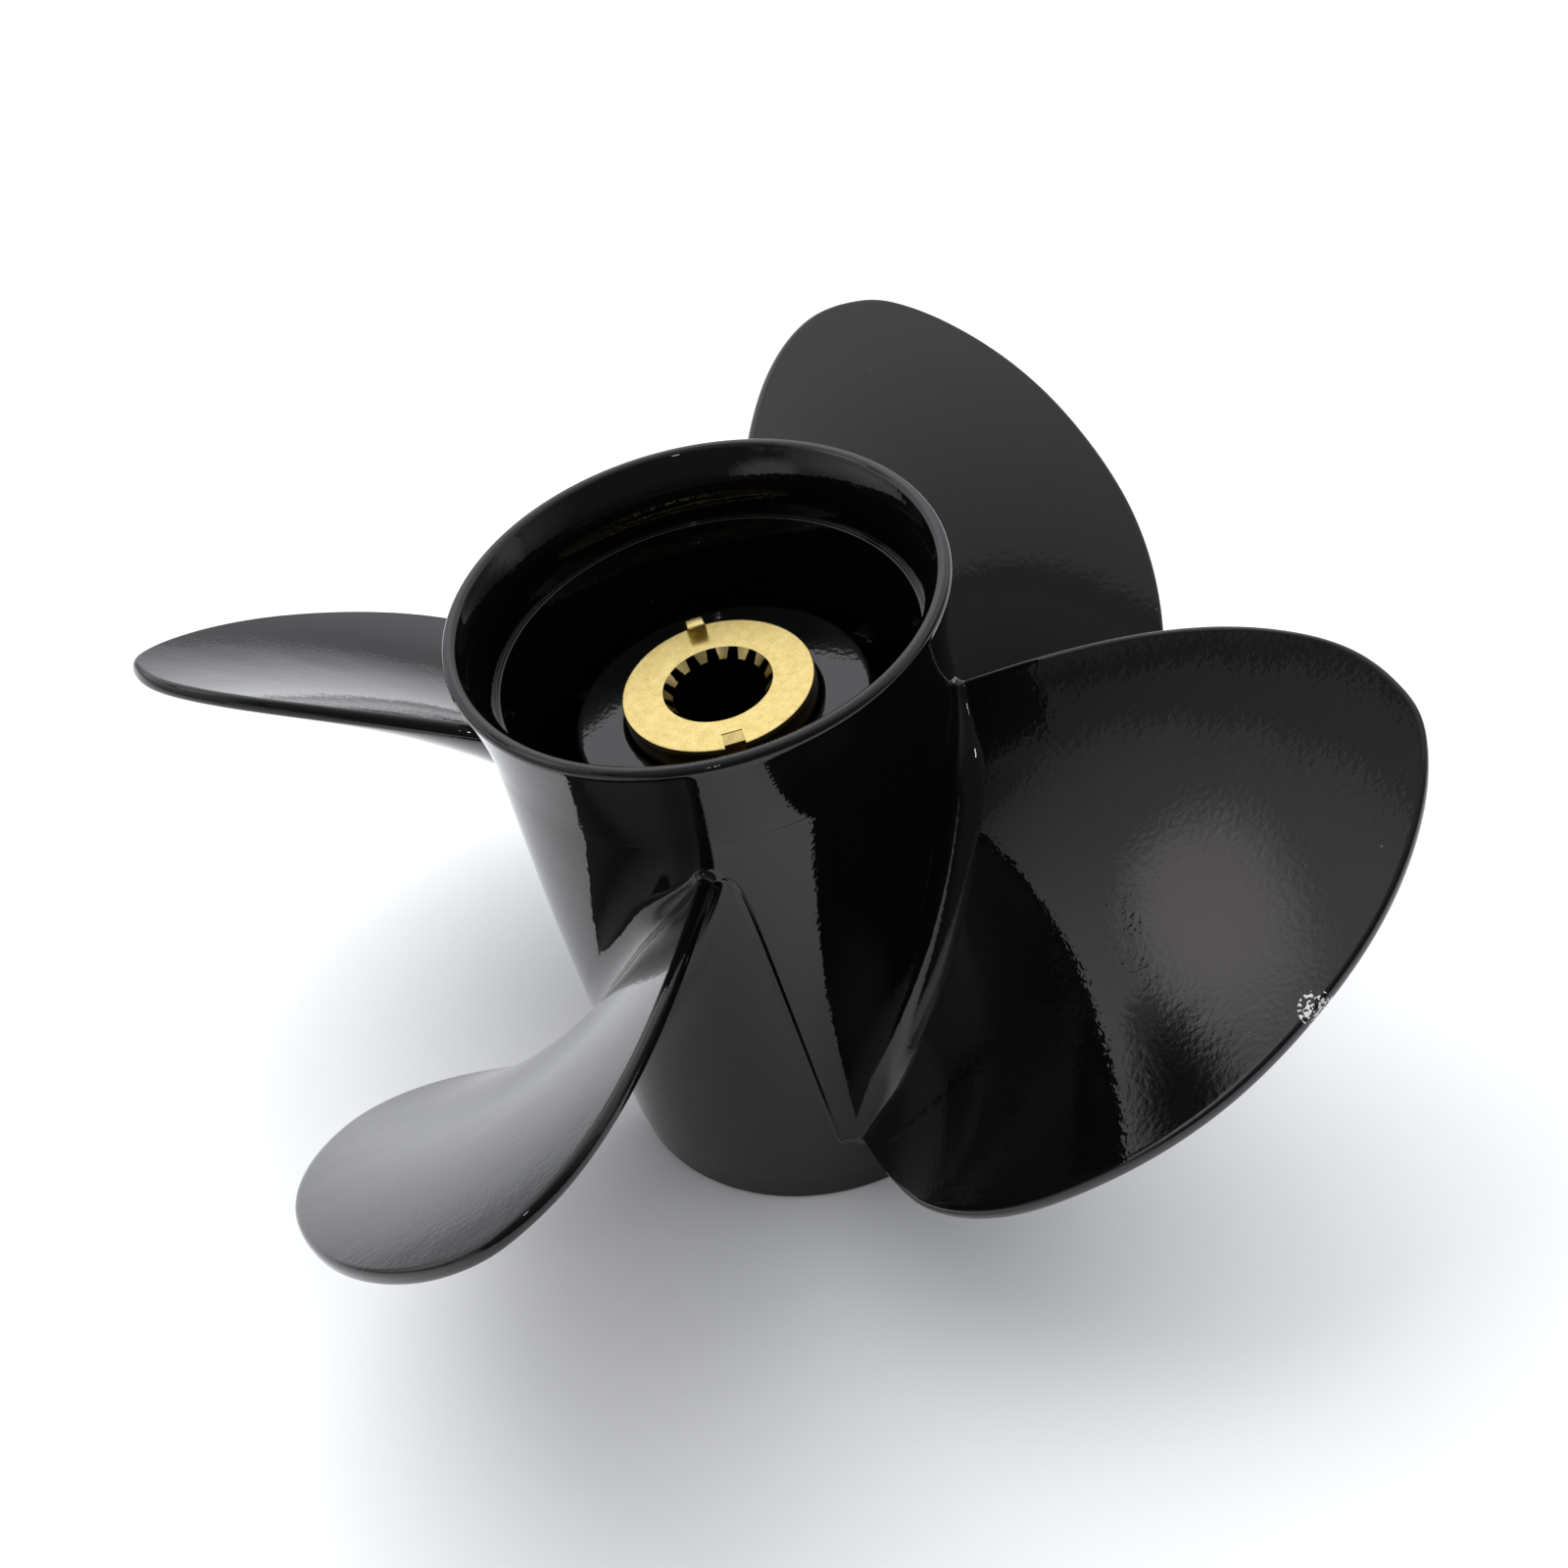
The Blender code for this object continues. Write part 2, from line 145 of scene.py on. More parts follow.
def closedMesh(name, points, faces, sharpAngle=None):
    # faces turned outwards and shaded smooth, with edges sharper than the angle left crisp
    mesh = bpy.data.meshes.new(name)
    mesh.from_pydata([tuple(point) for point in points], [], faces)
    bm = bmesh.new()
    bm.from_mesh(mesh)
    bmesh.ops.recalc_face_normals(bm, faces=bm.faces)
    bm.to_mesh(mesh)
    bm.free()
    mesh.shade_smooth()
    if sharpAngle:
        mesh.set_sharp_from_angle(angle=math.radians(sharpAngle))
    return mesh


# Sizes of the splined sleeve, which its brass follows too

sleeveShape = {
    "headRadius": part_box("splined_sleeve")[1].x,
    "bottom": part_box("splined_sleeve")[0].z,
    "tabTop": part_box("splined_sleeve")[1].z,
    "headBottom": 117.5 * mm,
    "bodyRadius": 17 * mm,
    "edgeBreak": 0.4 * mm,
    "teeth": 15,
    "grooveRadius": 13.0 * mm,
    "toothRadius": 11.1 * mm,
    "firstGroove": math.radians(88.6),
    "leadIn": 2.1 * mm,              # depth of the chamfer at the mouth of the splines
    "grooveFloor": 0.38,             # shares of one tooth's turn
    "grooveMouth": 0.60,
    "tabAngle": math.radians(95),
    "tabWidth": 4.6 * mm,
    "tabHeight": 3.0 * mm,
    "tabDepth": 3.6 * mm,
    "tabRound": 0.55 * mm,
    "slotAngle": math.radians(-88.5),
    "slotWidth": 4.9 * mm,
    "slotDepth": 3.0 * mm,
    "slotLength": 5.2 * mm,
    "slotRamp": 3.0 * mm,            # its floor first slopes down over this length
    "slotRampDepth": 0.9 * mm,
}


# Materials

def newMaterial(name):
    material = bpy.data.materials.new(name)
    material.use_nodes = True
    tree = material.node_tree
    return material, tree, tree.nodes["Principled BSDF"]


def addNode(tree, kind, inputs=(), **settings):
    node = tree.nodes.new(kind)
    for key, value in settings.items():
        setattr(node, key, value)
    for key, value in dict(inputs).items():
        if isinstance(value, bpy.types.NodeSocket):
            tree.links.new(value, node.inputs[key])
        else:
            node.inputs[key].default_value = value
    return node


def blend(tree, share, first, second):
    # mixes two colours, each a plain one or another node's
    mix = addNode(tree, "ShaderNodeMix", {"Factor": share}, data_type="RGBA")
    for socket, value in ((mix.inputs[6], first), (mix.inputs[7], second)):
        if isinstance(value, bpy.types.NodeSocket):
            tree.links.new(value, socket)
        else:
            socket.default_value = value
    return mix.outputs[2]


def softStep(tree, value, start, end):
    # 0 at the start, 1 at the end, smooth between
    step = addNode(tree, "ShaderNodeMapRange", {
        "Value": value, "From Min": min(start, end), "From Max": max(start, end),
        "To Min": float(start > end), "To Max": float(start < end)}, interpolation_type="SMOOTHSTEP")
    return step.outputs["Result"]


def combine(tree, operation, *values):
    total = values[0]
    for value in values[1:]:
        total = addNode(tree, "ShaderNodeMath", {0: total, 1: value}, operation=operation).outputs["Value"]
    return total


enamelLook = {
    "colour": (0.0019, 0.0021, 0.0021, 1),
    "roughness": 0.16,
    "coatRoughness": 0.03,
    "peelScale": 700,        # orange peel, waves per metre
    "peelDepth": 0.029 * mm,
    "swellScale": 60,
    "swellDepth": 0.10 * mm,
    "dustScale": 75,         # grains per metre
    "dustSize": 0.016,
    "dustColour": (0.09, 0.09, 0.088, 1),
}


def makeEnamel(name, look, chipAndHighlightMask=None, chipAndHighlightColour=None):
    # the mask function, where given, marks chipped places or a painted highlight line, from the object's own
    # coordinates
    material, tree, shader = newMaterial(name)
    place = addNode(tree, "ShaderNodeTexCoord").outputs["Object"]
    grains = addNode(tree, "ShaderNodeTexVoronoi", {"Vector": place, "Scale": look["dustScale"]})
    dust = addNode(tree, "ShaderNodeMath", {0: grains.outputs["Distance"], 1: look["dustSize"]}, operation="LESS_THAN")
    colour = blend(tree, dust.outputs["Value"], look["colour"], look["dustColour"])
    if chipAndHighlightMask:
        colour = blend(tree, chipAndHighlightMask(tree, place), colour, chipAndHighlightColour)
    tree.links.new(colour, shader.inputs["Base Color"])
    shader.inputs["Coat Weight"].default_value = 1
    shader.inputs["Coat Roughness"].default_value = look["coatRoughness"]
    shader.inputs["Coat IOR"].default_value = 1.5
    shader.inputs["Specular IOR Level"].default_value = 0
    shader.inputs["Roughness"].default_value = look["roughness"]
    peel = addNode(tree, "ShaderNodeTexNoise", {"Vector": place, "Scale": look["peelScale"], "Detail": 1.5})
    swell = addNode(tree, "ShaderNodeTexNoise", {"Vector": place, "Scale": look["swellScale"], "Detail": 1})
    fine = addNode(tree, "ShaderNodeBump", {"Height": peel.outputs["Fac"], "Distance": look["peelDepth"]})
    wide = addNode(tree, "ShaderNodeBump", {
        "Height": swell.outputs["Fac"], "Distance": look["swellDepth"], "Normal": fine.outputs["Normal"]})
    tree.links.new(wide.outputs["Normal"], shader.inputs["Normal"])
    tree.links.new(wide.outputs["Normal"], shader.inputs["Coat Normal"])
    return material


# painted highlight: the lighter colour of that line stands in for the light the band's step catches
paintedHighlightLine = {"height": 9.1 * mm, "halfWidth": 0.22 * mm, "colour": (0.021, 0.021, 0.020, 1)}


def paintedHighlightMask(tree, place):
    # painted highlight: a fine lighter line round the barrel, at the edge of the band at its front end, where the step
    # catches the light
    height = addNode(tree, "ShaderNodeSeparateXYZ", {"Vector": place}).outputs["Z"]
    line = addNode(tree, "ShaderNodeMath", {
        0: height, 1: paintedHighlightLine["height"], 2: paintedHighlightLine["halfWidth"]}, operation="COMPARE")
    return line.outputs["Value"]


chips = {
    "middle": Vector((102.6, -110.8, 97.8)) * mm,       # on the first blade's edge
    "reach": 4 * mm,
    "grainScale": 1100,
    "share": 0.56,                   # noise above this is a chip
    "colour": (0.55, 0.55, 0.54, 1),
}


def chipMask(tree, place):
    away = addNode(tree, "ShaderNodeVectorMath", {0: place, 1: chips["middle"]}, operation="DISTANCE")
    near = addNode(tree, "ShaderNodeMath", {0: away.outputs["Value"], 1: chips["reach"]}, operation="LESS_THAN")
    noise = addNode(tree, "ShaderNodeTexNoise", {"Vector": place, "Scale": chips["grainScale"], "Detail": 1})
    chip = addNode(tree, "ShaderNodeMath", {0: noise.outputs["Fac"], 1: chips["share"]}, operation="GREATER_THAN")
    return combine(tree, "MULTIPLY", near.outputs["Value"], chip.outputs["Value"])


brassLook = {
    "colour": (0.74, 0.59, 0.25, 1),
    "darker": (0.55, 0.415, 0.145, 1),
    # painted shade: colours of the bore's grooves and crests; the crests' one also darkens the slot and the side of the
    # head
    "groove": (0.022, 0.012, 0.004, 1),
    "crestShade": (0.16, 0.11, 0.05, 1),
    "roughness": 0.3,
    "grainScale": 2300,
    "grainDepth": 0.022 * mm,
}


def makeBrass(look):
    material, tree, shader = newMaterial("satinBrass")
    place = addNode(tree, "ShaderNodeTexCoord").outputs["Object"]
    grain = addNode(tree, "ShaderNodeTexNoise", {"Vector": place, "Scale": look["grainScale"], "Detail": 3})
    blotch = addNode(tree, "ShaderNodeTexNoise", {"Vector": place, "Scale": 420, "Detail": 4, "Roughness": 0.7})
    speckle = combine(tree, "ADD", blotch.outputs["Fac"], grain.outputs["Fac"])
    tone = addNode(tree, "ShaderNodeMapRange", {"Value": speckle, "From Min": 0.75, "From Max": 1.25})
    face = blend(tree, tone.outputs["Result"], look["darker"], look["colour"])

    # painted shade: the bore, darkest in its grooves, the slot and the side of the head are coloured dark where they
    # lie in their own shade
    parts = addNode(tree, "ShaderNodeSeparateXYZ", {"Vector": place})
    flat = addNode(tree, "ShaderNodeCombineXYZ", {"X": parts.outputs["X"], "Y": parts.outputs["Y"]})
    radius = addNode(tree, "ShaderNodeVectorMath", {0: flat.outputs["Vector"]}, operation="LENGTH").outputs["Value"]
    top = sleeveShape["tabTop"] - sleeveShape["tabHeight"]
    depth = combine(tree, "SUBTRACT", top, parts.outputs["Z"])
    slope = (sleeveShape["grooveRadius"] - sleeveShape["toothRadius"]) / sleeveShape["leadIn"]
    cone = combine(tree, "SUBTRACT", sleeveShape["grooveRadius"], combine(tree, "MULTIPLY", depth, slope))
    behind = softStep(tree, combine(tree, "SUBTRACT", radius, cone), 0.1 * mm, 0.5 * mm)
    boreShadeMask = combine(tree, "MULTIPLY", behind, softStep(tree, depth, 0.1 * mm, 0.3 * mm),
                     softStep(tree, radius, sleeveShape["grooveRadius"] + 0.6 * mm, sleeveShape["grooveRadius"] + 0.3 * mm))
    # painted shade on the slot and the side of the head, below its face
    outside = combine(tree, "MULTIPLY", softStep(tree, depth, 0.8 * mm, 1.6 * mm), softStep(tree, radius, 15 * mm, 16 * mm))
    onCrest = softStep(tree, radius, sleeveShape["toothRadius"] + 0.5 * mm, sleeveShape["toothRadius"] + 0.2 * mm)
    # painted shade colour of the bore, darker in the grooves than on the crests
    bore = blend(tree, onCrest, look["groove"], look["crestShade"])
    colour = blend(tree, boreShadeMask, face, bore)
    colour = blend(tree, outside, colour, look["crestShade"])
    tree.links.new(colour, shader.inputs["Base Color"])
    shader.inputs["Metallic"].default_value = 1
    shader.inputs["Roughness"].default_value = look["roughness"]
    bump = addNode(tree, "ShaderNodeBump", {"Height": speckle, "Distance": look["grainDepth"]})
    tree.links.new(bump.outputs["Normal"], shader.inputs["Normal"])
    return material


def makeRubber():
    material, tree, shader = newMaterial("mouldedRubber")
    place = addNode(tree, "ShaderNodeTexCoord").outputs["Object"]
    grain = addNode(tree, "ShaderNodeTexNoise", {"Vector": place, "Scale": 700, "Detail": 4})
    ramp = addNode(tree, "ShaderNodeValToRGB", {"Fac": grain.outputs["Fac"]})
    ramp.color_ramp.elements[0].color = (0.012, 0.012, 0.012, 1)
    ramp.color_ramp.elements[1].color = (0.035, 0.034, 0.033, 1)
    tree.links.new(ramp.outputs["Color"], shader.inputs["Base Color"])
    shader.inputs["Roughness"].default_value = 0.7
    bump = addNode(tree, "ShaderNodeBump", {"Height": grain.outputs["Fac"], "Distance": 0.04 * mm})
    tree.links.new(bump.outputs["Normal"], shader.inputs["Normal"])
    return material


enamel = makeEnamel("glossBlackEnamel", enamelLook)
# the barrel's enamel carries the painted highlight line at its band
barrelEnamel = makeEnamel("barrelEnamel", enamelLook, paintedHighlightMask, paintedHighlightLine["colour"])
chippedEnamel = makeEnamel("chippedEnamel", enamelLook, chipMask, chips["colour"])
brass = makeBrass(brassLook)
rubber = makeRubber()
print("materials made")


# Barrel: outer tube with the flared mouth

barrelShape = {
    "radius": 54 * mm,
    "footRadius": 50.8 * mm,         # just above the band at the front end
    "taperTop": 95 * mm,
    "bandTop": 9.2 * mm,
    "bandStep": 0.5 * mm,
    "bandTaper": 0.4 * mm,
    "rimBead": 3.6 * mm,
    "rimRound": 157,                 # degrees of the rim's bead, from its inner side over the top
    "flareLine": 132 * mm,           # fine step where the flare was turned
    "flareStep": 0.18 * mm,
    "flareBend": 1.6,
    "stepHeight": 140 * mm,          # machined step inside the mouth
    "stepRadius": 50 * mm,
    "stepWidth": 1.1 * mm,
    "stepRound": 0.5 * mm,
    "mouthBend": 2.6,                # above 1, the mouth widens mostly near the rim
    "frontBore": 46 * mm,
    "edgeBreak": 0.8 * mm,
    "crisp": 0.12 * mm,              # rounding of the machined edges
    "steps": 320,
}


def barrelRadius(height, shape=barrelShape):
    share = min(max((height - shape["bandTop"]) / (shape["taperTop"] - shape["bandTop"]), 0), 1)
    return shape["footRadius"] + (shape["radius"] - shape["footRadius"]) * math.sin(share * math.pi / 2)


def barrelProfile(shape):
    bead = shape["rimBead"] / 2
    rimMiddle = rimTop - bead
    crisp = shape["crisp"]
    points = []
    for step in range(25):       # over the rim, from inside to outside
        angle = math.radians(shape["rimRound"]) * (1 - step / 24)
        points.append((rimRadius - bead + bead * math.cos(angle), rimMiddle + bead * math.sin(angle)))
    flareFoot = shape["radius"] + shape["flareStep"]
    flareEnd = shape["flareLine"] + shape["flareStep"]
    for step in range(1, 25):    # down the flare
        share = step / 24
        radius = flareFoot + (rimRadius - flareFoot) * (1 - share) ** shape["flareBend"]
        points.append((radius, rimMiddle + (flareEnd - rimMiddle) * share))
    points[-1] += (crisp,)
    points.append((shape["radius"], shape["flareLine"], crisp))
    for step in range(1, 41):    # down the barrel
        height = shape["flareLine"] + (shape["bandTop"] - shape["flareLine"]) * step / 40
        points.append((barrelRadius(height), height))
    points[-1] += (crisp,)
    front = shape["footRadius"] - shape["bandStep"]
    points.append((front, shape["bandTop"] - shape["bandStep"], crisp))
    foot = front - shape["bandTaper"]
    points.append((foot, shape["edgeBreak"], 3 * crisp))
    points.append((foot - shape["edgeBreak"], 0, 3 * crisp))
    points.append((shape["frontBore"] + shape["edgeBreak"], 0, 3 * crisp))
    points.append((shape["frontBore"], shape["edgeBreak"], 3 * crisp))
    rearBore = shape["stepRadius"] - shape["stepWidth"]
    for step in range(1, 15):
        share = step / 14
        points.append((shape["frontBore"] + (rearBore - shape["frontBore"]) * share, shape["stepHeight"] * share))
    points[-1] += (shape["stepRound"],)
    points.append((shape["stepRadius"], shape["stepHeight"], crisp))
    inner = points[0]
    for step in range(1, 16):    # up the mouth, widening towards the rim
        share = step / 16
        radius = shape["stepRadius"] + (inner[0] - shape["stepRadius"]) * share ** shape["mouthBend"]
        points.append((radius, shape["stepHeight"] + (inner[1] - shape["stepHeight"]) * share))
    return roundCorners(points)


barrelSkin = finishPiece(
    "barrelSkin", turnedMesh("barrelSkin", barrelProfile(barrelShape), barrelShape["steps"]), barrelEnamel,
    ["barrel"])
print("barrel made")


# Blades

bladeShape = {
    "count": 4,
    "middleRadius": 104.4 * mm,
    "middleAngle": math.radians(-35),
    "middleHeight": 107.8 * mm,
    "pitch": 520 * mm,
    "rake": 0.233,
    "rakeCurve": -0.93,              # per metre
    "camber": 1.9 * mm,              # per radian squared
    "camberGrowth": 0.062,
    "droop": -3.0 * mm,              # per radian cubed
    "rootRadius": 50 * mm,
    "tipRadius": 159.6 * mm,
    "leading": (-85.1, -83.5, -80.8, -74.8, -66.1, -57.0, -47.4, -39.3, -31.8),
    "trailing": (-14.3, -14.4, -15.0, -16.2, -18.0, -20.3, -23.3, -26.6, -31.8),
    "rootThickness": 7.5 * mm,
    "tipThickness": 3.6 * mm,
    "leadingThickness": 3.4 * mm,
    "trailingThickness": 3.2 * mm,
    "edgeRound": 1.3 * mm,
    "edgePower": 2.6,                # 2 is a full round, more is squarer
    "cove": 3.6 * mm,                # the aft face swells this much towards the barrel
    "coveReach": 14 * mm,
    "coveEnds": (0.36, 0.22),        # shares of the chord over which it fades, leading end and trailing end
    "aftFillet": 7.5 * mm,
    "foreFillet": 5 * mm,
    "endFillet": 2.8 * mm,           # round the leading and trailing ends of the root
    "filletEase": 0.2,               # share of the chord over which it grows to full size
    "edgeColumns": 8,
    "chordColumns": 44,
    "spanRows": 84,
    "filletRows": 12,
}


def smoothAlong(values, share):
    # a smooth curve through values spread evenly over share 0 to 1, on whole arrays
    values = np.array(values, float)
    padded = np.concatenate([[2 * values[0] - values[1]], values, [2 * values[-1] - values[-2]]])
    place = np.clip(share, 0, 1) * (len(values) - 1)
    left = np.minimum(place.astype(int), len(values) - 2)
    t = place - left
    a, b, c, d = (padded[left + k] for k in range(4))
    return 0.5 * (2 * b + (c - a) * t + (2 * a - 5 * b + 4 * c - d) * t**2 + (3 * b - a - 3 * c + d) * t**3)


def spanShare(radius, shape=bladeShape):
    reach = (radius - shape["rootRadius"]) / (shape["tipRadius"] - shape["rootRadius"])
    return np.arcsin(np.clip(reach, 0, 1)) * 2 / math.pi


def bladeEdges(radius, shape=bladeShape):
    share = spanShare(radius)
    return np.radians(smoothAlong(shape["leading"], share)), np.radians(smoothAlong(shape["trailing"], share))


def bladeHeight(radius, angle, shape=bladeShape):
    out = radius - shape["middleRadius"]
    turn = angle - shape["middleAngle"]
    rise = shape["rake"] * out + shape["rakeCurve"] * out**2
    camber = (shape["camber"] + shape["camberGrowth"] * out) * turn**2 + shape["droop"] * turn**3
    return shape["middleHeight"] + rise + shape["pitch"] * turn / (2 * math.pi) + camber


def aftPoint(radius, angle):
    return np.stack([radius * np.cos(angle), radius * np.sin(angle), bladeHeight(radius, angle)], -1)


def aftNormal(radius, angle):
    step = 0.01 * mm
    out = aftPoint(radius + step, angle) - aftPoint(radius - step, angle)
    turn = aftPoint(radius, angle + step / radius) - aftPoint(radius, angle - step / radius)
    normal = np.cross(out, turn)
    return normal / np.linalg.norm(normal, axis=-1, keepdims=True)


def bladeThickness(radius, chord, shape=bladeShape):
    middle = shape["rootThickness"] + (shape["tipThickness"] - shape["rootThickness"]) * spanShare(radius)
    edge = shape["leadingThickness"] + (shape["trailingThickness"] - shape["leadingThickness"]) * chord
    return edge + (middle - edge) * np.sqrt(np.clip(4 * chord * (1 - chord), 0, 1))


def bladeOutline(shape=bladeShape):
    # points close together along both edges, tip included
    radii = shape["rootRadius"] + (shape["tipRadius"] - shape["rootRadius"]) * np.sin(
        np.linspace(0, 1, 700) * math.pi / 2)
    leading, trailing = bladeEdges(radii)
    return np.concatenate([aftPoint(radii, leading), aftPoint(radii, trailing)[::-1]])


def distanceTo(points, line):
    # shortest distance from each point to a line of many short segments
    starts, steps = line[:-1], np.diff(line, axis=0)
    lengths = np.maximum((steps**2).sum(1), 1e-16)
    found = np.empty(len(points))
    for first in range(0, len(points), 400):
        part = points[first:first + 400, None] - starts[None]
        along = np.clip((part * steps).sum(2) / lengths, 0, 1)
        found[first:first + 400] = np.sqrt(((part - along[..., None] * steps) ** 2).sum(2).min(1))
    return found


def roundedStops(count, power):
    # places across a rounded edge, 0 at its outermost line to 1 where it has run out
    angle = np.linspace(0, 1, count + 1) * math.pi / 2
    return 1 - np.cos(angle) ** (2 / power)


def bladeRows(shape):
    # shares of the way from the root fillet to the tip, crowded towards the tip's rounded edge
    reach = shape["tipRadius"] - shape["rootRadius"]
    first = math.asin(shape["aftFillet"] / reach)
    last = math.asin(1 - shape["edgeRound"] / reach)
    main = np.sin(np.linspace(first, last, shape["spanRows"]))
    edge = 1 - roundedStops(shape["edgeColumns"], shape["edgePower"])[::-1][1:] * (1 - main[-1])
    return (np.concatenate([main, edge]) - main[0]) / (1 - main[0])


def chordStops(width, shape):
    # shares of the chord for one row: crowded in both rounded edges, easing over the middle
    edge = min(shape["edgeRound"] / width, 0.3)
    side = roundedStops(shape["edgeColumns"], shape["edgePower"]) * edge
    ease = (1 - np.cos(np.linspace(0, 1, shape["chordColumns"]) * math.pi)) / 2
    even = np.linspace(0, 1, shape["chordColumns"])
    middle = edge + (1 - 2 * edge) * (0.6 * ease + 0.4 * even)
    return np.concatenate([side, middle[1:-1], 1 - side[::-1]])


def bladeGrid(shape):
    # closed loops of points from the root fillet to the tip: aft face to the trailing edge, then the fore face back
    rows = []
    for share in bladeRows(shape):
        radius = shape["rootRadius"] + (shape["tipRadius"] - shape["rootRadius"]) * share
        leading, trailing = bladeEdges(np.array([radius]))
        width = max(float(trailing[0] - leading[0]) * radius, 0.02 * mm)
        chord = chordStops(width, shape)
        radii = np.full(chord.shape, radius)
        for _ in range(3):    # the first row keeps one distance from the barrel, and later ones even out
            leading, trailing = bladeEdges(radii)
            angle = leading + (trailing - leading) * chord
            start = np.array([barrelRadius(h) for h in bladeHeight(radii, angle)]) + shape["aftFillet"]
            radii = np.minimum(start + (shape["tipRadius"] - start) * share, shape["tipRadius"])
        rows.append((radii, angle, chord))
    radii, angle, chord = (np.array(values) for values in zip(*rows))
    aft, normal = aftPoint(radii, angle), aftNormal(radii, angle)
    depth = distanceTo(aft.reshape(-1, 3), bladeOutline()).reshape(radii.shape)
    fade = 1 - np.clip(depth / shape["edgeRound"], 0, 1)
    full = (1 - fade ** shape["edgePower"]) ** (1 / shape["edgePower"])
    full[:, 0] = full[:, -1] = full[-1] = 0
    half = bladeThickness(radii, chord)[..., None] / 2
    away = radii - np.vectorize(barrelRadius)(aft[..., 2])
    ends = np.clip(np.minimum(chord / shape["coveEnds"][0], (1 - chord) / shape["coveEnds"][1]), 0, 1)
    swell = shape["cove"] * np.exp(-away / shape["coveReach"]) * ends**2 * (3 - 2 * ends)
    upper = aft - normal * (half * (1 - full[..., None]) - swell[..., None])
    lower = aft - normal * half * (1 + full[..., None])
    return np.concatenate([upper, lower[:, -2:0:-1]], axis=1), normal, chord


def unit(vectors):
    return vectors / np.maximum(np.linalg.norm(vectors, axis=-1, keepdims=True), 1e-12)


def onBarrel(points):
    radii = np.array([barrelRadius(h) for h in points[:, 2]])
    flat = unit(points[:, :2])
    return np.concatenate([flat * radii[:, None], points[:, 2:]], axis=1)


def barrelNormal(points):
    step = 0.1 * mm
    slope = np.array([(barrelRadius(h + step) - barrelRadius(h - step)) / (2 * step) for h in points[:, 2]])
    return unit(np.concatenate([unit(points[:, :2]), -slope[:, None]], axis=1))


def rootFillet(loops, aftNormals, chord, shape):
    # rows that leave the blade along its own surface and run out along the barrel's
    first, second = loops[0], loops[1]
    inward = unit(first - second)
    sideways = np.roll(first, -1, axis=0) - np.roll(first, 1, axis=0)
    outward = unit(np.cross(sideways, inward))
    if outward[len(chord) // 2, 2] < 0:
        outward = -outward
    facing = np.concatenate([aftNormals, aftNormals[-2:0:-1]])
    chords = np.concatenate([chord, chord[-2:0:-1]])
    aft = (outward * facing).sum(1)
    ends = np.clip(np.minimum(chords, 1 - chords) / shape["filletEase"], 0, 1)
    ends = ends * ends * (3 - 2 * ends)
    aftSize = shape["endFillet"] + (shape["aftFillet"] - shape["endFillet"]) * ends
    foreSize = shape["endFillet"] + (shape["foreFillet"] - shape["endFillet"]) * ends
    size = shape["endFillet"] + (aftSize - shape["endFillet"]) * np.clip(aft, 0, 1)
    size += (foreSize - shape["endFillet"]) * np.clip(-aft, 0, 1)
    radial = unit(first[:, :2])
    fall = -(inward[:, :2] * radial).sum(1)
    gap = np.linalg.norm(first[:, :2], axis=1) - np.array([barrelRadius(h) for h in first[:, 2]])
    meeting = onBarrel(first + inward * (gap / np.maximum(fall, 0.2))[:, None])
    away = outward - barrelNormal(meeting) * (outward * barrelNormal(meeting)).sum(1)[:, None]
    away = unit(away)
    foot = onBarrel(meeting + away * size[:, None])
    normal = barrelNormal(foot)
    runOut = unit(away - normal * (away * normal).sum(1)[:, None])
    begin = meeting - inward * size[:, None]
    pull = 0.39 * np.linalg.norm(foot - begin, axis=1, keepdims=True)
    rows = []
    for step in range(1, 4):          # straight stretch before the fillet begins
        rows.append(first + (begin - first) * (step / 3))
    for step in range(1, shape["filletRows"] + 1):
        t = step / shape["filletRows"]
        rows.append(begin * (1 - t) ** 3 + (begin + inward * pull) * 3 * t * (1 - t) ** 2
                    + (foot - runOut * pull) * 3 * t**2 * (1 - t) + foot * t**3)
    hidden = onBarrel(foot + runOut * 0.6 * mm) - barrelNormal(foot) * 0.02 * mm
    rows.append(hidden)
    return np.array(rows[::-1])


def bladeMesh(shape):
    loops, normals, chord = bladeGrid(shape)
    fillet = rootFillet(loops, normals[0], chord[0], shape)
    tip = loops[-1].mean(axis=0)
    rings = np.concatenate([fillet, loops[:-1]])
    count = rings.shape[1]
    points = np.concatenate([rings.reshape(-1, 3), tip[None]])
    faces = gridFaces(len(rings), count, True)
    last = (len(rings) - 1) * count
    for column in range(count):
        faces.append((last + column, last + (column + 1) % count, len(points) - 1))
    return closedMesh("blade", points, faces)


bladePattern = bladeMesh(bladeShape)
for index in range(bladeShape["count"]):
    mesh = bladePattern.copy()
    mesh.transform(Matrix.Rotation(2 * math.pi * index / bladeShape["count"], 4, "Z"))
    paint = enamel if index else chippedEnamel
    finishPiece(f"bladeSkin_{index + 1}", mesh, paint, [f"blade_{index + 1}"])
print("blades made")


# Parting lines of the casting mould: a fine ridge down the barrel between every two blades

partingShape = {
    "halfWidth": 0.75 * mm,
    "height": 0.32 * mm,
    "topGrowth": 0.5,                # share by which it is wider and higher at its upper end
    "sunk": 0.3 * mm,
    "columns": 9,
    # from one blade's trailing root to the next one's leading root: degrees round the shaft, height in mm
    "route": ((-107, 121.6), (-98.4, 121.6), (-96.5, 112.4), (-93.9, 76), (-90.9, 26.5), (-90.2, 21.6), (-83, 21.0)),
    "softening": 4,
}


def softened(line, rounds):
    # cuts the corners of an open line again and again
    for _ in range(rounds):
        cut = [line[0]]
        for start, end in zip(line, line[1:]):
            cut += [start * 0.75 + end * 0.25, start * 0.25 + end * 0.75]
        line = cut + [line[-1]]
    return line


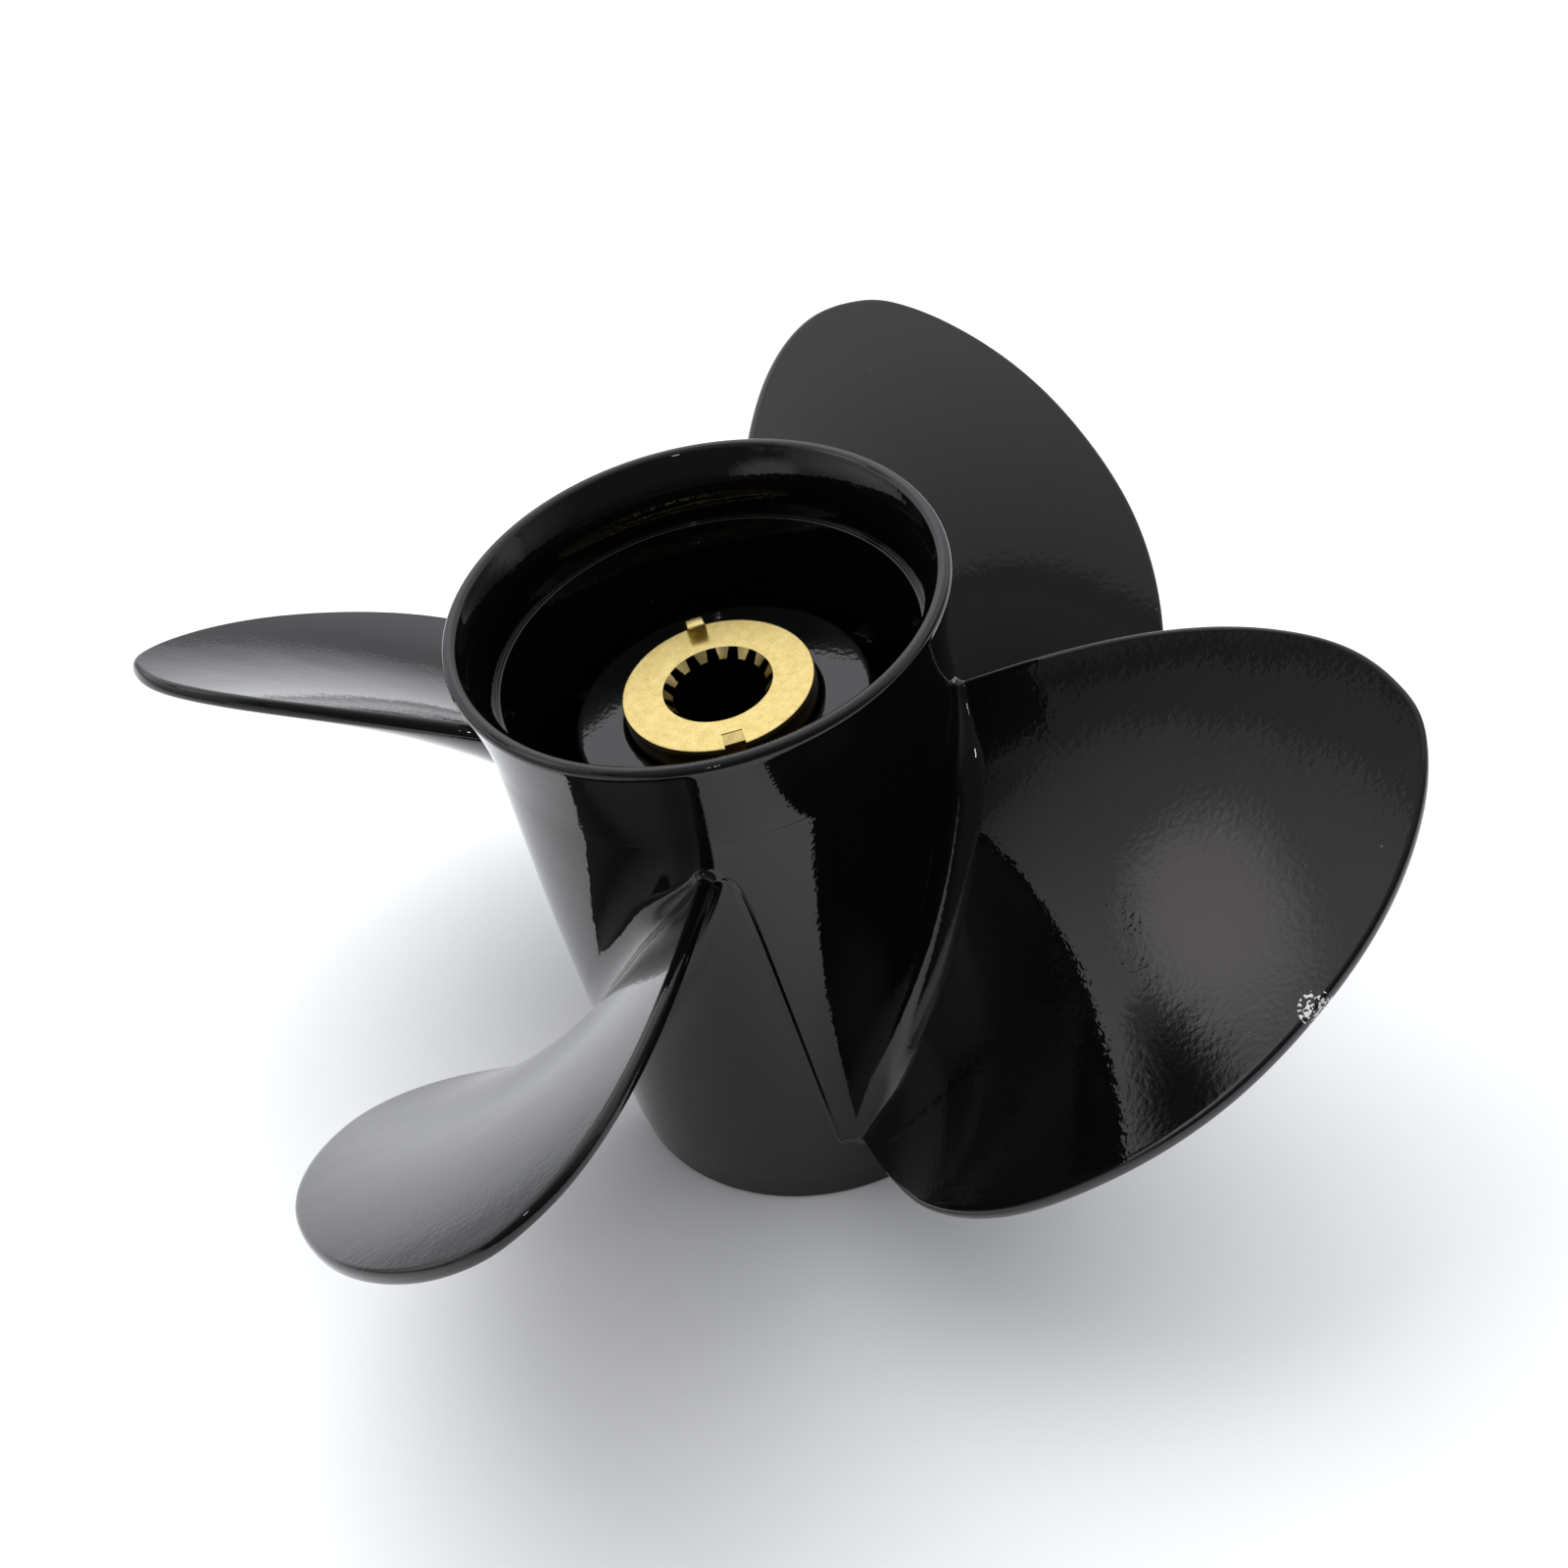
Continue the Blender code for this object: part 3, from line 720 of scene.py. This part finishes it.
def partingMesh(shape):
    route = softened([Vector(point) for point in shape["route"]], shape["softening"])
    flat = np.array([(math.radians(angle), height * mm) for angle, height in route])
    radii = np.array([barrelRadius(height) for height in flat[:, 1]])
    line = np.stack([radii * np.cos(flat[:, 0]), radii * np.sin(flat[:, 0]), flat[:, 1]], -1)
    normals = barrelNormal(line)
    sideways = unit(np.cross(np.gradient(line, axis=0), normals))
    growth = 1 + shape["topGrowth"] * (flat[:, 1:] - flat[:, 1].min()) / np.ptp(flat[:, 1])
    rings = []
    for column in range(shape["columns"]):
        across = 2 * column / (shape["columns"] - 1) - 1
        rise = shape["height"] * growth * (1 + math.cos(math.pi * across)) / 2 - 0.02 * mm
        rings.append(line + sideways * across * shape["halfWidth"] * growth + normals * rise)
    rings.append(line + sideways * shape["halfWidth"] * 0.8 - normals * shape["sunk"])
    rings.append(line - sideways * shape["halfWidth"] * 0.8 - normals * shape["sunk"])
    loops = np.stack(rings, 1)
    count = loops.shape[1]
    faces = gridFaces(len(loops), count, True)
    faces += [tuple(range(count)), tuple(range(len(loops) * count - count, len(loops) * count))]
    return closedMesh("partingLine", loops.reshape(-1, 3), faces)


partingPattern = partingMesh(partingShape)
for index in range(bladeShape["count"]):
    mesh = partingPattern.copy()
    mesh.transform(Matrix.Rotation(2 * math.pi * index / bladeShape["count"], 4, "Z"))
    finishPiece(f"partingLine_{index + 1}", mesh, enamel)
print("parting lines made")


# Inner hub, a thick tube that the ribs carry

hubShape = {
    "bore": 25 * mm,
    "lipRadius": 23.1 * mm,
    "lipHeight": 5.5 * mm,
    "edgeRound": 1.2 * mm,
    "steps": 200,
}


def makeHub(shape):
    rounding = shape["edgeRound"]
    lip = hubTop - shape["lipHeight"]
    corners = [
        (hubRadius, hubTop, rounding), (hubRadius, hubBottom, rounding), (shape["bore"], hubBottom, rounding),
        (shape["bore"], lip, rounding), (shape["lipRadius"], lip, rounding), (shape["lipRadius"], hubTop, rounding)]
    mesh = turnedMesh("hubSkin", roundCorners(corners), shape["steps"])
    return finishPiece("hubSkin", mesh, enamel, ["inner_hub"])


makeHub(hubShape)
print("hub made")


# Ribs between hub and barrel

ribShape = {
    "count": 4,
    "firstAngle": math.radians(41),
    "thickness": 5.5 * mm,
    "fillet": 4 * mm,
    "topRound": 2.2 * mm,
    "fall": 9 * mm,                  # how much lower their tops are at the barrel's wall
    "wallOverlap": 0.4 * mm,
    "columns": 28,
}


def ribMesh(index, shape):
    low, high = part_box(f"rib_{index + 1}")
    angle = shape["firstAngle"] + 2 * math.pi * index / shape["count"]
    inner = hubRadius - shape["wallOverlap"]
    rows = [(low.z, 0)]
    for step in range(9):
        turn = math.pi / 2 * step / 8
        rows.append((high.z - shape["topRound"] * (1 - math.sin(turn)), shape["topRound"] * (1 - math.cos(turn))))
    points = []
    for level, (height, drawnIn) in enumerate(rows):
        share = height / barrelShape["stepHeight"]
        rearBore = barrelShape["stepRadius"] - barrelShape["stepWidth"]
        outer = barrelShape["frontBore"] + (rearBore - barrelShape["frontBore"]) * share + shape["wallOverlap"]
        side = []
        for step in range(shape["columns"] + 1):
            t = (1 - math.cos(math.pi * step / shape["columns"])) / 2
            place = inner + (outer - inner) * t
            near = min(place - inner, outer - place)
            flare = 0
            if near < shape["fillet"]:
                flare = shape["fillet"] - math.sqrt(shape["fillet"] ** 2 - (shape["fillet"] - near) ** 2)
            side.append((place, max(shape["thickness"] / 2 + flare - drawnIn, 0.1 * mm)))
        for place, half in side + [(place, -half) for place, half in reversed(side)]:
            out = (place - inner) / (outer - inner)
            points.append((place, half, height - (shape["fall"] * out * out * (3 - 2 * out) if level else 0)))
    count = 2 * (shape["columns"] + 1)
    faces = gridFaces(len(rows), count, True)
    last = (len(rows) - 1) * count
    for step in range(shape["columns"]):      # bottom and top, in strips
        faces.append((step + 1, step, count - 1 - step, count - 2 - step))
        faces.append((last + step, last + step + 1, last + count - 2 - step, last + count - 1 - step))
    mesh = closedMesh("rib", points, faces, 60)
    mesh.transform(Matrix.Rotation(angle, 4, "Z"))
    return mesh


for index in range(ribShape["count"]):
    finishPiece(f"ribSkin_{index + 1}", ribMesh(index, ribShape), enamel, [f"rib_{index + 1}"])
print("ribs made")


# Splined brass sleeve

def splineColumns(shape):
    # angle and bore radius round the splines, with the corners of every groove exact
    floor, mouth = shape["grooveFloor"] / 2, shape["grooveMouth"] / 2
    stretches = [(-mouth, -floor, 4), (-floor, floor, 4), (floor, mouth, 4), (mouth, 1 - mouth, 8)]
    columns = []
    for tooth in range(shape["teeth"]):
        for start, end, count in stretches:
            for step in range(count):
                share = start + (end - start) * step / count
                along = min(max((abs(share) - floor) / (mouth - floor), 0), 1)
                radius = shape["grooveRadius"] + (shape["toothRadius"] - shape["grooveRadius"]) * along
                columns.append((shape["firstGroove"] + (tooth + share) * 2 * math.pi / shape["teeth"], radius))
    return columns


def sleeveBlank(shape, top):
    break_ = shape["edgeBreak"]
    outside = roundCorners([
        (shape["grooveRadius"], top), (shape["headRadius"], top, break_), (shape["headRadius"], shape["headBottom"], break_),
        (shape["bodyRadius"], shape["headBottom"]), (shape["bodyRadius"], shape["bottom"], break_),
        (shape["grooveRadius"] + break_, shape["bottom"])])
    columns = splineColumns(shape)
    rows = [[radius] * len(columns) for radius, height in outside]
    heights = [height for radius, height in outside]
    depths = [shape["leadIn"] * step / 10 for step in range(10, 0, -1)]
    for height in [shape["bottom"] + break_] + [top - depth for depth in depths]:
        slope = (shape["grooveRadius"] - shape["toothRadius"]) / shape["leadIn"]
        cone = shape["grooveRadius"] - slope * (top - height)
        rows.append([max(radius, cone) for angle, radius in columns])
        heights.append(height)
    points = []
    for row, height in zip(rows, heights):
        for radius, (angle, _) in zip(row, columns):
            points.append((radius * math.cos(angle), radius * math.sin(angle), height))
    count = len(columns)
    faces = gridFaces(len(rows), count, True)
    last = (len(rows) - 1) * count
    for column in range(count):
        after = (column + 1) % count
        faces.append((last + column, last + after, after, column))
    return closedMesh("sleeve", points, faces, 30)


def wedge(name, corners, width, rounding, angle):
    # an outline of (radius, height) corners, as thick as the width, turned to its place
    bm = bmesh.new()
    sides = [[bm.verts.new((radius, side * width / 2, height)) for radius, height in corners] for side in (-1, 1)]
    bm.faces.new(sides[0])
    bm.faces.new(sides[1][::-1])
    for index in range(len(corners)):
        after = (index + 1) % len(corners)
        bm.faces.new((sides[0][after], sides[0][index], sides[1][index], sides[1][after]))
    bmesh.ops.recalc_face_normals(bm, faces=bm.faces)
    if rounding:
        bmesh.ops.bevel(bm, geom=bm.edges, offset=rounding, segments=3, profile=0.5, affect="EDGES")
    bmesh.ops.rotate(bm, cent=(0, 0, 0), matrix=Matrix.Rotation(angle, 3, "Z"), verts=bm.verts)
    mesh = bpy.data.meshes.new(name)
    bm.to_mesh(mesh)
    bm.free()
    return bpy.data.objects.new(name, mesh)


def carve(piece, tools):
    # applies each tool to the piece, as a union or a difference
    for tool, operation in tools:
        bpy.context.scene.collection.objects.link(tool)
        modifier = piece.modifiers.new(operation, "BOOLEAN")
        modifier.object = tool
        modifier.operation = operation
    bpy.context.view_layer.update()
    graph = bpy.context.evaluated_depsgraph_get()
    mesh = bpy.data.meshes.new_from_object(piece.evaluated_get(graph))
    piece.modifiers.clear()
    piece.data = mesh
    for tool, operation in tools:
        bpy.data.objects.remove(tool, do_unlink=True)
    mesh.shade_smooth()
    mesh.set_sharp_from_angle(angle=math.radians(30))


def makeSleeve(shape):
    top = shape["tabTop"] - shape["tabHeight"]
    piece = finishPiece("sleeveSkin", sleeveBlank(shape, top), brass, ["splined_sleeve"])
    outer = shape["headRadius"] - shape["edgeBreak"]
    inner = outer - shape["tabDepth"]
    sunk = top - shape["tabRound"] * 2
    tab = wedge(
        "tab", [(inner, sunk), (outer, sunk), (outer, shape["tabTop"]), (inner, shape["tabTop"])], shape["tabWidth"],
        shape["tabRound"], shape["tabAngle"])
    start = shape["headRadius"] - shape["slotLength"]
    ramp = start + shape["slotRamp"]
    beyond = shape["headRadius"] + 2 * mm
    slot = wedge(
        "slot", [(start, top + 1 * mm), (start, top - 0.2 * mm), (ramp, top - shape["slotRampDepth"]),
                 (ramp, top - shape["slotDepth"]), (beyond, top - shape["slotDepth"]), (beyond, top + 1 * mm)],
        shape["slotWidth"], 0, shape["slotAngle"])
    carve(piece, [(tab, "UNION"), (slot, "DIFFERENCE")])


makeSleeve(sleeveShape)
print("sleeve made")


# Rubber bush, pressed in between sleeve and hub: its front end shows from below

bushShape = {
    "innerRadius": 17.3 * mm,
    "outerRadius": 24.7 * mm,
    "bottom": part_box("rubber_bush")[0].z,
    "top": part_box("rubber_bush")[1].z,
    "lip": 1.1 * mm,                 # raised moulded lips at its front end
    "lipWidth": 1.3 * mm,
    "rounding": 0.4 * mm,
    "steps": 160,
}


def makeBush(shape):
    outer, inner = shape["outerRadius"], shape["innerRadius"]
    low, high = shape["bottom"], shape["bottom"] + shape["lip"]
    width, rounding = shape["lipWidth"], shape["rounding"]
    corners = [
        (outer, shape["top"], rounding), (outer, low, rounding), (outer - width, low, rounding),
        (outer - width * 1.5, high, rounding), (inner + width * 1.5, high, rounding), (inner + width, low, rounding),
        (inner, low, rounding), (inner, shape["top"], rounding)]
    mesh = turnedMesh("bushSkin", roundCorners(corners), shape["steps"])
    finishPiece("bushSkin", mesh, rubber, ["rubber_bush"])


makeBush(bushShape)
print("bush made")


# Floor and light: a pale room, brightest behind the propeller and dim on the camera's side

studio = {
    "floorSize": 8,
    "floorColour": (0.88, 0.885, 0.895, 1),
    "roomColour": (0.97, 0.985, 1.02),
    "middle": 0.83,                  # brightness overhead, and how much more towards the back
    "slope": 0.95,
    "dimmest": 0.17,
    "brightest": 1.12,
    "horizon": 0.42,                 # the wall is darker low down
    "horizonTop": 0.27,
    # dark ceiling on the camera's side: how far across it, and what share of the light is left there
    "ceilingFacing": (132.8, -12.0),
    "ceiling": ((-0.30, 0.70), (-0.06, 0.60), (-0.012, 0.28), (0.004, 0.28), (0.014, 0.56), (0.105, 0.58),
                (0.125, 0.88), (0.20, 1.0)),
    "rightWall": ((-0.34, 0.68), (-0.27, 0.55), (-0.23, 1.0)),
    "warmGlow": {"azimuth": 170, "elevation": 44, "width": 12.5, "strength": 1.15},
    "warmColour": (1.0, 0.88, 0.84),
    "backGlow": {"azimuth": 88, "elevation": 42, "width": 28, "strength": 0.55},
    "lowWindow": {"azimuth": -138, "elevation": 5, "width": 20, "strength": 0.7},
    "darkPanels": (
        {"azimuth": 151.5, "elevation": 37, "width": 7, "strength": -0.95},
        {"azimuth": 158, "elevation": 34.5, "width": 4.5, "strength": -0.6},
        {"azimuth": 12, "elevation": 3, "width": 24, "strength": -0.8}),
    "key": {"azimuth": 110, "elevation": 66, "distance": 0.9, "size": 0.9, "power": 5.5},
    "fill": {"azimuth": -70, "elevation": 70, "distance": 1.5, "size": 2.4, "power": 14},
    "flash": {"azimuth": -100, "elevation": 47, "distance": 1, "size": 0.05, "power": 0.25},
}


def towards(azimuth, elevation):
    a, e = math.radians(azimuth), math.radians(elevation)
    return Vector((math.cos(a) * math.cos(e), math.sin(a) * math.cos(e), math.sin(e)))


def makeFloor(look):
    mesh = bpy.data.meshes.new("floor")
    half = look["floorSize"] / 2
    mesh.from_pydata([(-half, -half, 0), (half, -half, 0), (half, half, 0), (-half, half, 0)], [], [(0, 1, 2, 3)])
    material, tree, shader = newMaterial("paleFloor")
    shader.inputs["Base Color"].default_value = look["floorColour"]
    shader.inputs["Roughness"].default_value = 0.9
    shader.inputs["Specular IOR Level"].default_value = 0
    mesh.materials.append(material)
    floor = bpy.data.objects.new("floor", mesh)
    bpy.context.scene.collection.objects.link(floor)


def softBox(name, place):
    # a square lamp aimed at the middle of the propeller
    lamp = bpy.data.lights.new(name, "AREA")
    lamp.size = place["size"]
    lamp.energy = place["power"]
    holder = bpy.data.objects.new(name, lamp)
    bpy.context.scene.collection.objects.link(holder)
    away = towards(place["azimuth"], place["elevation"])
    holder.location = Vector((0, 0, rimTop / 2)) + away * place["distance"]
    holder.rotation_euler = away.to_track_quat("Z", "Y").to_euler()
    return holder


def alongRoom(tree, direction, azimuth, elevation):
    dot = addNode(tree, "ShaderNodeVectorMath", {0: direction, 1: towards(azimuth, elevation)}, operation="DOT_PRODUCT")
    return dot.outputs["Value"]


def roomPatch(tree, direction, patch):
    # a soft round patch of the room, 0 outside its width
    spread = addNode(tree, "ShaderNodeMapRange", {
        "Value": alongRoom(tree, direction, patch["azimuth"], patch["elevation"]),
        "From Min": math.cos(math.radians(patch["width"])), "From Max": 1,
        "To Min": 0, "To Max": patch["strength"]}, interpolation_type="SMOOTHSTEP")
    return spread.outputs["Result"]


def steps(tree, value, stops):
    # brightness against a value from -1 to 1, straight between the stops
    place = addNode(tree, "ShaderNodeMath", {0: value, 1: 0.5, 2: 0.5}, operation="MULTIPLY_ADD")
    ramp = addNode(tree, "ShaderNodeValToRGB", {"Fac": place.outputs["Value"]})
    elements = ramp.color_ramp.elements
    for index, (at, level) in enumerate(stops):
        element = elements[index] if index < 2 else elements.new(at / 2 + 0.5)
        element.position = at / 2 + 0.5
        element.color = (level, level, level, 1)
    return ramp.outputs["Color"]


def makeRoom(look):
    world = bpy.data.worlds.new("paleRoom")
    bpy.context.scene.world = world
    world.use_nodes = True
    tree = world.node_tree
    direction = addNode(tree, "ShaderNodeTexCoord").outputs["Generated"]
    parts = addNode(tree, "ShaderNodeSeparateXYZ", {"Vector": direction})
    back = parts.outputs["Y"]
    wall = addNode(tree, "ShaderNodeMapRange", {
        "Value": back,
        "From Min": (look["dimmest"] - look["middle"]) / look["slope"],
        "From Max": (look["brightest"] - look["middle"]) / look["slope"],
        "To Min": look["dimmest"], "To Max": look["brightest"]}).outputs["Result"]
    low = addNode(tree, "ShaderNodeMapRange", {
        "Value": parts.outputs["Z"], "From Min": 0, "From Max": look["horizonTop"],
        "To Min": look["horizon"], "To Max": 1}, interpolation_type="SMOOTHSTEP").outputs["Result"]
    right = addNode(tree, "ShaderNodeMapRange", {
        "Value": parts.outputs["X"], "From Min": -0.15, "From Max": 0.15}, interpolation_type="SMOOTHSTEP")
    dark = addNode(tree, "ShaderNodeMix", {"Factor": right.outputs["Result"]}, data_type="RGBA")
    tree.links.new(steps(tree, alongRoom(tree, direction, *look["ceilingFacing"]), look["ceiling"]), dark.inputs["A"])
    tree.links.new(steps(tree, back, look["rightWall"]), dark.inputs["B"])
    plain = combine(tree, "MULTIPLY", wall, low, dark.outputs["Result"])
    plain = combine(tree, "ADD", plain, roomPatch(tree, direction, look["backGlow"]),
                    roomPatch(tree, direction, look["lowWindow"]))
    cool = addNode(tree, "ShaderNodeVectorMath", {0: look["roomColour"], "Scale": plain}, operation="SCALE")
    warm = addNode(tree, "ShaderNodeVectorMath", {
        0: look["warmColour"], "Scale": roomPatch(tree, direction, look["warmGlow"])}, operation="SCALE")
    total = addNode(tree, "ShaderNodeVectorMath", {0: cool.outputs["Vector"], 1: warm.outputs["Vector"]}, operation="ADD")
    shade = combine(tree, "MULTIPLY", *[
        combine(tree, "ADD", roomPatch(tree, direction, panel), 1) for panel in look["darkPanels"]])
    tree.links.new(total.outputs["Vector"], tree.nodes["Background"].inputs["Color"])
    tree.links.new(shade, tree.nodes["Background"].inputs["Strength"])


makeFloor(studio)
makeRoom(studio)
for name in ("key", "fill"):
    softBox(name, studio[name]).visible_glossy = False       # they light the floor and leave no patch in the enamel
softBox("flash", studio["flash"])
bpy.context.scene.view_settings.view_transform = "Standard"
print("stage set")
